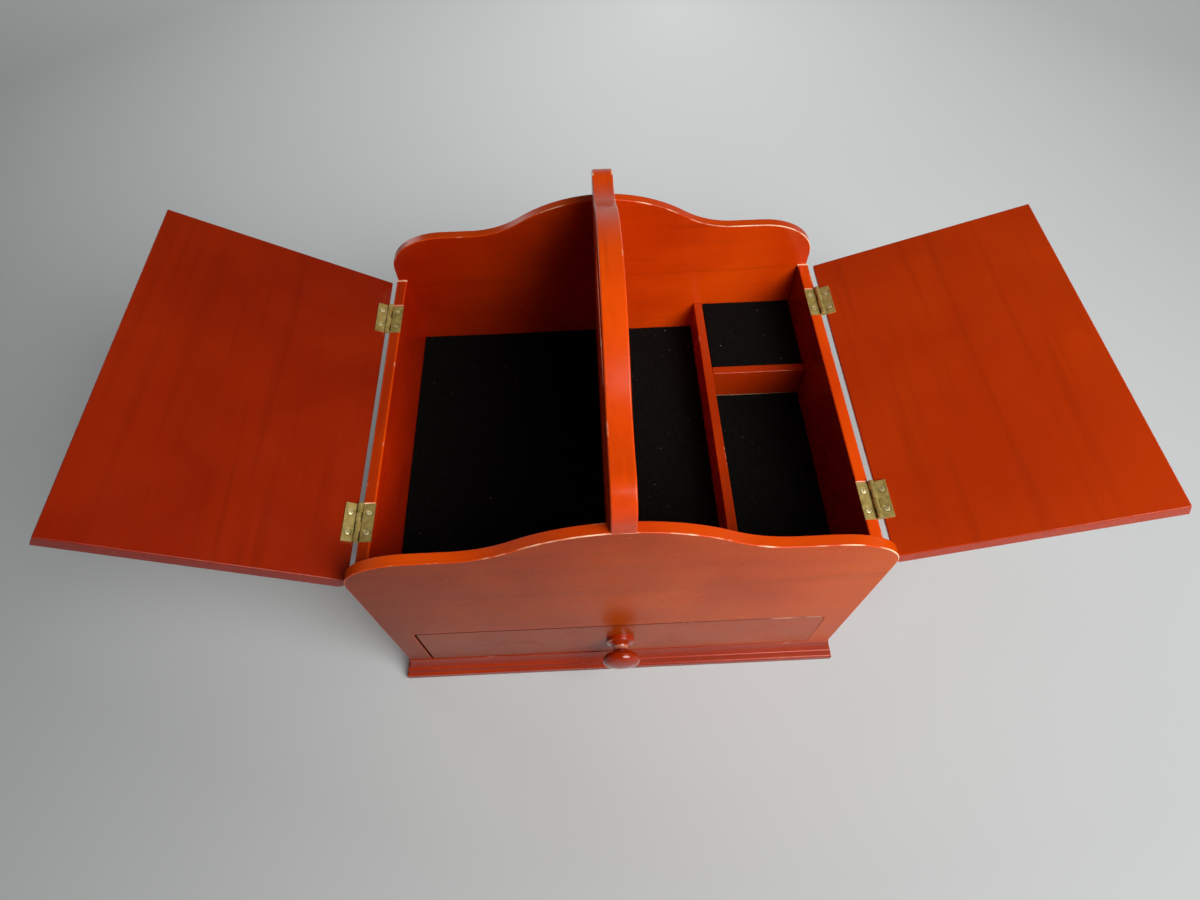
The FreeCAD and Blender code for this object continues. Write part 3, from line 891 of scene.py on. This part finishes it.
knob_low, knob_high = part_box("knob")
knob_length = knob_high.y - knob_low.y
head_radius = knob_high.x
knob_seat = (0, knob_high.y, (knob_low.z + knob_high.z) / 2)
cove_radius = ring_radius - ring_round - neck_radius
cove_middle = (ring_radius - ring_round, ring_length + cove_radius)
dome_radius = (head_radius - rim_round) / math.cos(math.radians(rim_end)) + rim_round
dome_middle = (0, knob_length - dome_radius)
rim_middle = (
    head_radius - rim_round,
    dome_middle[1] + (dome_radius - rim_round) * math.sin(math.radians(rim_end)),
)
knob_profile = [
    (0, 0),
    (ring_radius, 0),
    *arc_points((ring_radius - ring_round, ring_length - ring_round), ring_round, 0, 90, ring_steps),
    *arc_points(cove_middle, cove_radius, 270, cove_end, bend_steps)[1:],
    *arc_points(rim_middle, rim_round, rim_start, rim_end, bend_steps),
    *arc_points(dome_middle, dome_radius, rim_end, 90, dome_steps)[1:],
]
knob = turned("turned_knob", knob_profile, knob_turns)
knob_stain = ((0.24, 0.012, 0.0005), (0.33, 0.024, 0.0006))
knob_gloss = (0.08, 0.13)
# The neck's pale band is worn wood and a painted highlight.
knob_wear_and_highlight = {
    "knob_lacquer": None,
    "worn_knob_ring": (0.46, 0.66, 0.0),
    "bare_knob_neck_and_painted_highlight": (0.30, 0.95, 0.0),
}
worn_ring_low = ring_length - 0.8 * ring_round
worn_ring_high = ring_length - 0.1 * ring_round
pale_neck_half = 0.35 * cove_radius
on_ring = 1
on_neck = 2
for name, pale_wear_and_highlight in knob_wear_and_highlight.items():
    paint(knob, lacquer(name, "y", knob_stain, pale_wear_and_highlight, gloss=knob_gloss, shine=0.35, coat=0.35))
for face in knob.data.polygons:
    if worn_ring_low < face.center.z < worn_ring_high:
        face.material_index = on_ring
    elif abs(face.center.z - cove_middle[1]) < pale_neck_half:
        face.material_index = on_neck
lay_along_slide(knob, 90, knob_seat)
fit(knob, "drawer", "lacquered_wood", "knob")


def plated_steel(name):
    """Grey plated steel with fine turning marks."""
    dark_steel = (0.42, 0.42, 0.40)
    pale_steel = (0.62, 0.62, 0.60)
    gloss = (0.28, 0.42)
    finish, tree, shader, place = new_finish(name)
    marks = noise_value(tree, place, cells=900, detail=3)
    steel = mix_colours(tree, marks, dark_steel, pale_steel)
    colour_surface(tree, shader, steel, marks, gloss)
    shader.inputs["Metallic"].default_value = 1
    return finish


pan_round = 0.0013
pan_steps = 6
knob_shank = 0.00175
knob_screw_turns = 32
screw_low, screw_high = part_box("knob_screw")
screw_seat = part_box("drawer_front")[1].y
pan_radius = screw_high.x
pan_height = screw_high.y - screw_seat
knob_screw_profile = [
    (0, pan_height),
    *arc_points((pan_radius - pan_round, pan_height - pan_round), pan_round, 90, 0, pan_steps),
    (pan_radius, 0),
    (knob_shank, 0),
    (knob_shank, screw_low.y - screw_seat),
    (0, screw_low.y - screw_seat),
]
knob_screw = turned("knob_screw_piece", knob_screw_profile, knob_screw_turns)
cross_recess(knob_screw, pan_height, arm=0.0038, width=0.0009, depth=0.0012)
paint(knob_screw, plated_steel("plated_steel"))
lay_along_slide(knob_screw, -90, (0, screw_seat, knob_seat[2]))
fit(knob_screw, "drawer", "plated_steel", "knob_screw")


# Lids
# Flat lacquered boards that stand open at rest. Each has a rounded edge by its hinges
# and a bevelled free edge, which meets the handle board when the lid is shut.

lid_thickness = 0.010
lid_closed_angle = 10.0
lid_handle_gap = 0.0025
lid_eaves_radius = 0.004
eaves_steps = 8
lid_edge_setback = {"left": 0.0006, "right": 0.0017}
lid_eased_edge = 0.0008
lid_corner_radius = 0.0006
barrel_radius = 0.0017
lid_open_angle = {"left": 30.0, "right": 20.0}
lid_edge_wear = (0.70, 0.88, 0.0)
lid_end_shine = 0.15
# Painted shade: the left lid is stained much darker than the right.
lid_stain_and_shade = {
    "left": ((0.215, 0.0095, 0.0005), (0.285, 0.0165, 0.0006)),
    "right": ((0.385, 0.025, 0.0005), (0.455, 0.034, 0.0007)),
}
lid_half_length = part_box("right_lid")[1].y
pin_low, pin_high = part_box("right_front_hinge_pin")
pin_x = (pin_low.x + pin_high.x) / 2
pin_z = (pin_low.z + pin_high.z) / 2
handle_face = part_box("handle_board")[1].x

closed_slope = math.radians(lid_closed_angle)
lid_face = -barrel_radius
lid_back = lid_face - lid_thickness
lid_reach = pin_x - handle_face - lid_handle_gap
lid_free = (lid_reach + barrel_radius * math.sin(closed_slope)) / math.cos(closed_slope)
lid_free_back = lid_free + lid_thickness * math.tan(closed_slope)
eaves_up = lid_back + lid_eaves_radius


def set_on_hinge(piece, side, place, turn, towards_case=False):
    """Swing a piece made flat on the right of its pin, and move it to its own hinge."""
    sign = 1 if side == "right" else -1
    piece.scale.x = -sign if towards_case else sign
    settle(piece)
    face_outwards(piece)
    piece.rotation_euler.y = -sign * math.radians(turn)
    piece.location = (sign * pin_x, place, pin_z)
    settle(piece)


on_end = 2
for side in ("left", "right"):
    setback = lid_edge_setback[side]
    shape = [(setback, lid_face), (lid_free, lid_face), (lid_free_back, lid_back)]
    shape += arc_points((setback + lid_eaves_radius, eaves_up), lid_eaves_radius, 270, 180, eaves_steps)
    outline = [Vector((out, -lid_half_length, up)) for out, up in shape]
    lid = cut_board(side + "_lid_board", outline, Vector((0, 2 * lid_half_length, 0)))
    lid_finish = lacquer(side + "_lid_lacquer_stain_and_shade", "y", lid_stain_and_shade[side])
    lid_edge_finish = lacquer(side + "_lid_edge_stain_and_shade", "y", lid_stain_and_shade[side], lid_edge_wear)
    lid_end_finish = lacquer(side + "_lid_end_stain_and_shade", "y", lid_stain_and_shade[side], shine=lid_end_shine)
    paint(lid, lid_finish, lid_edge_finish, lid_end_finish)
    soften(
        lid,
        lid_eased_edge,
        lambda middle: abs(middle.x - setback) < hair and middle.z > lid_face - margin,
        finish=on_face,
    )
    soften(lid, lid_corner_radius)
    for face in lid.data.polygons:
        if abs(face.normal.y) > squarely:
            face.material_index = on_end
    set_on_hinge(lid, side, 0, lid_open_angle[side])
    fit(lid, side + "_lid", "lacquered_wood", side + "_lid")


# Hinges
# Two aged brass butt hinges to each lid: a leaf let into the wall, a leaf on the lid, each
# rolled into two knuckles, and a pin through them all.

def aged_brass(name, clean, dull):
    """Brass gone olive with age, cleaner in patches."""
    gloss = (0.30, 0.46)
    pit_depth = 0.00004
    finish, tree, shader, place = new_finish(name)
    tarnish = noise_value(tree, place, cells=240, detail=5, distortion=0.5)
    pits = noise_value(tree, place, cells=1500, detail=3)
    brass = mix_colours(tree, spread_value(tree, tarnish, (0.35, 0.68)), clean, dull)
    colour_surface(tree, shader, brass, pits, gloss)
    shader.inputs["Metallic"].default_value = 0.45
    raise_surface(tree, shader, pits, pit_depth)
    return finish


knuckle_count = 4
knuckle_gap = 0.0002
barrel_clearance = 0.0001
bore_clearance = 0.00005
lid_leaf_start = 0.0017
lid_leaf_width = 0.006
plate_corner = 0.0003
screw_spacing = 0.012
sink_top = 0.0020
sink_foot = 0.0012
sink_sides = 32
barrel_steps = 30
pin_sides = 24
leaf_ease = 0.00012
groove_share = 1.01
half_turned = 0.5
brass_finish = aged_brass("aged_brass", clean=(0.58, 0.43, 0.135), dull=(0.35, 0.255, 0.062))
# The dark brass is tarnish in the countersinks and painted shade in the groove by the barrel.
tarnish_and_groove_shade_finish = aged_brass(
    "tarnished_brass_and_groove_shade", clean=(0.10, 0.066, 0.018), dull=(0.035, 0.022, 0.007)
)
on_tarnish_and_groove_shade = 1

hinge_length = pin_high.y - pin_low.y
pin_radius = (pin_high.z - pin_low.z) / 2
leaf_face = leaf_thickness - barrel_radius
wall_leaf_reach = pin_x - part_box("right_front_wall_leaf")[0].x
wall_half = (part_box("right_side_wall")[1].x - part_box("right_side_wall")[0].x) / 2
lid_leaf_reach = lid_leaf_start + lid_leaf_width
screw_out = {"wall": wall_leaf_reach - wall_half, "lid": lid_leaf_reach - lid_leaf_width / 2}


def hinge_leaf(name, reach, first_notch, drill):
    """Flat plate rolled over its pin, notched for the other leaf's knuckles and drilled."""
    seat = math.degrees(math.asin(leaf_face / barrel_radius))
    rolled = [(reach, -barrel_radius), (reach, leaf_face)]
    rolled += arc_points((0, 0), barrel_radius, seat, 270, barrel_steps)
    outline = [Vector((out, -hinge_length / 2, up)) for out, up in rolled]
    leaf = cut_board(name, outline, Vector((0, hinge_length, 0)))
    paint(leaf, brass_finish, tarnish_and_groove_shade_finish)
    corner_y = hinge_length / 2 - plate_corner
    soften(
        leaf,
        plate_corner,
        lambda middle: middle.x > reach - plate_corner and abs(middle.y) > corner_y,
        finish=on_face,
    )
    pitch = hinge_length / knuckle_count
    notch = math.sqrt(barrel_radius ** 2 - leaf_face ** 2) + barrel_clearance
    for i in range(first_notch, knuckle_count, 2):
        middle = (0, pitch * (i + 0.5) - hinge_length / 2, 0)
        cut_away(leaf, plain_block(middle, (2 * notch, pitch + knuckle_gap, 4 * barrel_radius)))
    bpy.ops.object.select_all(action="DESELECT")
    bpy.ops.mesh.primitive_cylinder_add(
        vertices=pin_sides,
        radius=pin_radius + bore_clearance,
        depth=2 * hinge_length,
        rotation=(math.radians(90), 0, 0),
    )
    cut_away(leaf, bpy.context.object)
    taper = sink_top - sink_foot
    for end in (-1, 1):
        bpy.ops.object.select_all(action="DESELECT")
        bpy.ops.mesh.primitive_cone_add(
            vertices=sink_sides,
            radius1=sink_foot - taper,
            radius2=sink_top + taper,
            depth=3 * leaf_thickness,
            location=(drill, end * screw_spacing / 2, leaf_face - leaf_thickness / 2),
        )
        cut_away(leaf, bpy.context.object)
    soften(leaf, leaf_ease, steps=2, finish=on_face)
    for face in leaf.data.polygons:
        out, along, up = face.center
        off_screw = math.hypot(out - drill, abs(along) - screw_spacing / 2)
        in_sink = off_screw < sink_top and up < leaf_face - hair and face.normal.z > -squarely
        # Painted shade: the plate darkens where it meets the barrel.
        shaded_groove = abs(out) < groove_share * barrel_radius and abs(up) < barrel_radius / 2
        if in_sink or shaded_groove and abs(face.normal.y) < half_turned:
            face.material_index = on_tarnish_and_groove_shade
    return leaf


def copied(piece, name):
    """Second piece of the same make, with a mesh of its own."""
    twin = piece.copy()
    twin.data = piece.data.copy()
    twin.name = name
    bpy.context.collection.objects.link(twin)
    return twin


wall_leaf = hinge_leaf("wall_leaf_pattern", wall_leaf_reach, 1, screw_out["wall"])
lid_leaf = hinge_leaf("lid_leaf_pattern", lid_leaf_reach, 0, screw_out["lid"])
bpy.ops.object.select_all(action="DESELECT")
bpy.ops.mesh.primitive_cylinder_add(
    vertices=pin_sides, radius=pin_radius, depth=hinge_length, rotation=(math.radians(90), 0, 0)
)
hinge_pin = bpy.context.object
settle(hinge_pin)
paint(hinge_pin, brass_finish)
soften(hinge_pin, pin_radius / 3, finish=on_face)

hinge_place = {}
for end in ("front", "back"):
    hinge_low, hinge_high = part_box("right_" + end + "_hinge_pin")
    hinge_place[end] = (hinge_low.y + hinge_high.y) / 2
for side in ("left", "right"):
    for end, place in hinge_place.items():
        hinge = side + "_" + end + "_"
        wall_piece = copied(wall_leaf, hinge + "wall_plate")
        set_on_hinge(wall_piece, side, place, 0, towards_case=True)
        fit(wall_piece, "case", "aged_brass", hinge + "wall_leaf")
        pin_piece = copied(hinge_pin, hinge + "pin")
        set_on_hinge(pin_piece, side, place, 0)
        fit(pin_piece, "case", "aged_brass", hinge + "hinge_pin")
        lid_piece = copied(lid_leaf, hinge + "lid_plate")
        set_on_hinge(lid_piece, side, place, lid_open_angle[side])
        fit(lid_piece, side + "_lid", "aged_brass", hinge + "lid_leaf")
for pattern in (wall_leaf, lid_leaf, hinge_pin):
    bpy.data.objects.remove(pattern)


# Hinge screws
# Small countersunk brass screws with low domed heads and a cross socket, two to a leaf.
# Each was driven home to an angle of its own.

screw_head = 0.0017
screw_dome = 0.00035
screw_shank = 0.0008
screw_length = 0.008
screw_point = 0.0012
head_steps = 5
screw_turns = 24
screw_twist = 37
screw_finish = aged_brass("screw_brass", clean=(0.84, 0.72, 0.38), dull=(0.46, 0.37, 0.14))

dome_bend = (screw_head ** 2 + screw_dome ** 2) / (2 * screw_dome)
dome_edge = math.degrees(math.acos(screw_head / dome_bend))
screw_profile = [
    *arc_points((0, screw_dome - dome_bend), dome_bend, 90, dome_edge, head_steps),
    (screw_shank, screw_shank - screw_head),
    (screw_shank, screw_point - screw_length),
    (0, -screw_length),
]
hinge_screw = turned("hinge_screw_pattern", screw_profile, screw_turns)
cross_recess(hinge_screw, screw_dome, arm=0.0021, width=0.00045, depth=0.0006)
paint(hinge_screw, screw_finish)


def driven_screws(name, leaf, sides, first_turn):
    """All the screws of one kind of leaf on the given sides, as one group."""
    turn = first_turn
    group = []
    for side in sides:
        for place in hinge_place.values():
            for end in (-1, 1):
                one = copied(hinge_screw, name)
                one.rotation_euler.z = math.radians(turn)
                one.location = (screw_out[leaf], end * screw_spacing / 2, leaf_face)
                settle(one)
                swing = lid_open_angle[side] if leaf == "lid" else 0
                set_on_hinge(one, side, place, swing, towards_case=leaf == "wall")
                group.append(one)
                turn += screw_twist
    choose(group[0])
    for one in group:
        one.select_set(True)
    bpy.ops.object.join()
    return group[0]


wall_screws = driven_screws("wall_leaf_screws", "wall", ("left", "right"), first_turn=10)
fit(wall_screws, "case", "aged_brass", "wall_hinge_screws")
for side in ("left", "right"):
    lid_screws = driven_screws(side + "_lid_leaf_screws", "lid", (side,), first_turn=25)
    fit(lid_screws, side + "_lid", "aged_brass", side + "_lid_screws")
bpy.data.objects.remove(hinge_screw)


# Floor, light and camera
# A pale sheet under the box, which glows softly behind it as a lit backdrop does, a large
# soft light from the front right and a weak low one from the back left. The camera looks
# down from above the front.

def seen_directly(tree):
    """1 for what the camera or a reflection sees, and 0 for the light on the object."""
    rays = tree.nodes.new("ShaderNodeLightPath").outputs
    return combine(tree, "MAXIMUM", rays["Is Camera Ray"], rays["Is Glossy Ray"])


floor_size = 12
paper_tones = ((0.43, 0.445, 0.44), (0.47, 0.485, 0.48))
glow_colour = (0.97, 1.0, 1.0, 1)
glow_middle = (0.12, 0.75, 0.0)
glow_reach = 1.0
glow_strength = 0.45
far_start = 0.95
far_end = 2.2
far_strength = 0.5

bpy.ops.object.select_all(action="DESELECT")
bpy.ops.mesh.primitive_plane_add(size=floor_size, location=(0, 0, 0))
floor = bpy.context.object
floor.name = "studio_floor"
paper, tree, shader, place = new_finish("pale_paper")
tone = noise_value(tree, place, cells=3, detail=2)
tree.links.new(mix_colours(tree, tone, *paper_tones), shader.inputs["Base Color"])
shader.inputs["Roughness"].default_value = 0.9
shader.inputs["Specular IOR Level"].default_value = 0.1
shader.inputs["Emission Color"].default_value = glow_colour


def distance_from(middle):
    """How far a point of the floor lies from a given one."""
    away = tree.nodes.new("ShaderNodeVectorMath")
    away.operation = "DISTANCE"
    away.inputs[1].default_value = middle
    tree.links.new(place, away.inputs[0])
    return away.outputs["Value"]


near_glow = spread_value(tree, distance_from(glow_middle), (0, glow_reach), onto=(glow_strength, 0))
far_glow = spread_value(tree, distance_from((0, 0, 0)), (far_start, far_end), onto=(0, far_strength))
glow = combine(tree, "ADD", near_glow, far_glow)
glow_seen = combine(tree, "MULTIPLY", glow, seen_directly(tree))
tree.links.new(glow_seen, shader.inputs["Emission Strength"])
paint(floor, paper)


light_aim = Vector((0, 0, 0.1))
lights = {
    "key_light": (Vector((0.60, -0.65, 1.00)), 0.8, 22),
    "low_fill": (Vector((-1.90, 1.80, 0.90)), 1.0, 8),
}
for name, (light_place, light_size, watts) in lights.items():
    bpy.ops.object.light_add(type="AREA", location=light_place)
    light = bpy.context.object
    light.name = name
    light.visible_camera = False
    light.data.shape = "SQUARE"
    light.data.size = light_size
    light.data.energy = watts
    light.rotation_euler = (light_aim - light_place).to_track_quat("-Z", "Y").to_euler()

room_colour = (0.95, 0.98, 1.0, 1)
room_light = 0.05
backdrop_strength = 0.55
backdrop_top = 0.55
world = bpy.data.worlds.new("studio")
bpy.context.scene.world = world
world.use_nodes = True
tree = world.node_tree
room = tree.nodes["Background"]
room.inputs["Color"].default_value = room_colour
facing = tree.nodes.new("ShaderNodeSeparateXYZ")
tree.links.new(tree.nodes.new("ShaderNodeTexCoord").outputs["Generated"], facing.inputs[0])
fade = spread_value(tree, facing.outputs["Z"], (0, backdrop_top), onto=(backdrop_strength, 0))
backdrop = combine(tree, "MULTIPLY_ADD", fade, seen_directly(tree), room_light)
tree.links.new(backdrop, room.inputs["Strength"])

photo_width = 1200
focal_pixels = 704.31
sensor_width = 36
camera_place = Vector((-0.01248, -0.24763, 0.49627))
camera_yaw = math.radians(1.175)
camera_pitch = math.radians(-58.381)
camera_roll = math.radians(-1.482)
ahead = Vector((
    math.sin(camera_yaw) * math.cos(camera_pitch),
    math.cos(camera_yaw) * math.cos(camera_pitch),
    math.sin(camera_pitch),
))
level = Vector((math.cos(camera_yaw), -math.sin(camera_yaw), 0))
upward = level.cross(ahead)
right = level * math.cos(camera_roll) + upward * math.sin(camera_roll)
upward = upward * math.cos(camera_roll) - level * math.sin(camera_roll)
bpy.ops.object.camera_add()
camera = bpy.context.object
camera_turn = Matrix((right, upward, -ahead)).transposed().to_4x4()
camera.matrix_world = Matrix.Translation(camera_place) @ camera_turn
camera.data.sensor_width = sensor_width
camera.data.lens = focal_pixels / photo_width * sensor_width
bpy.context.scene.camera = camera
bpy.context.scene.view_settings.view_transform = "Standard"
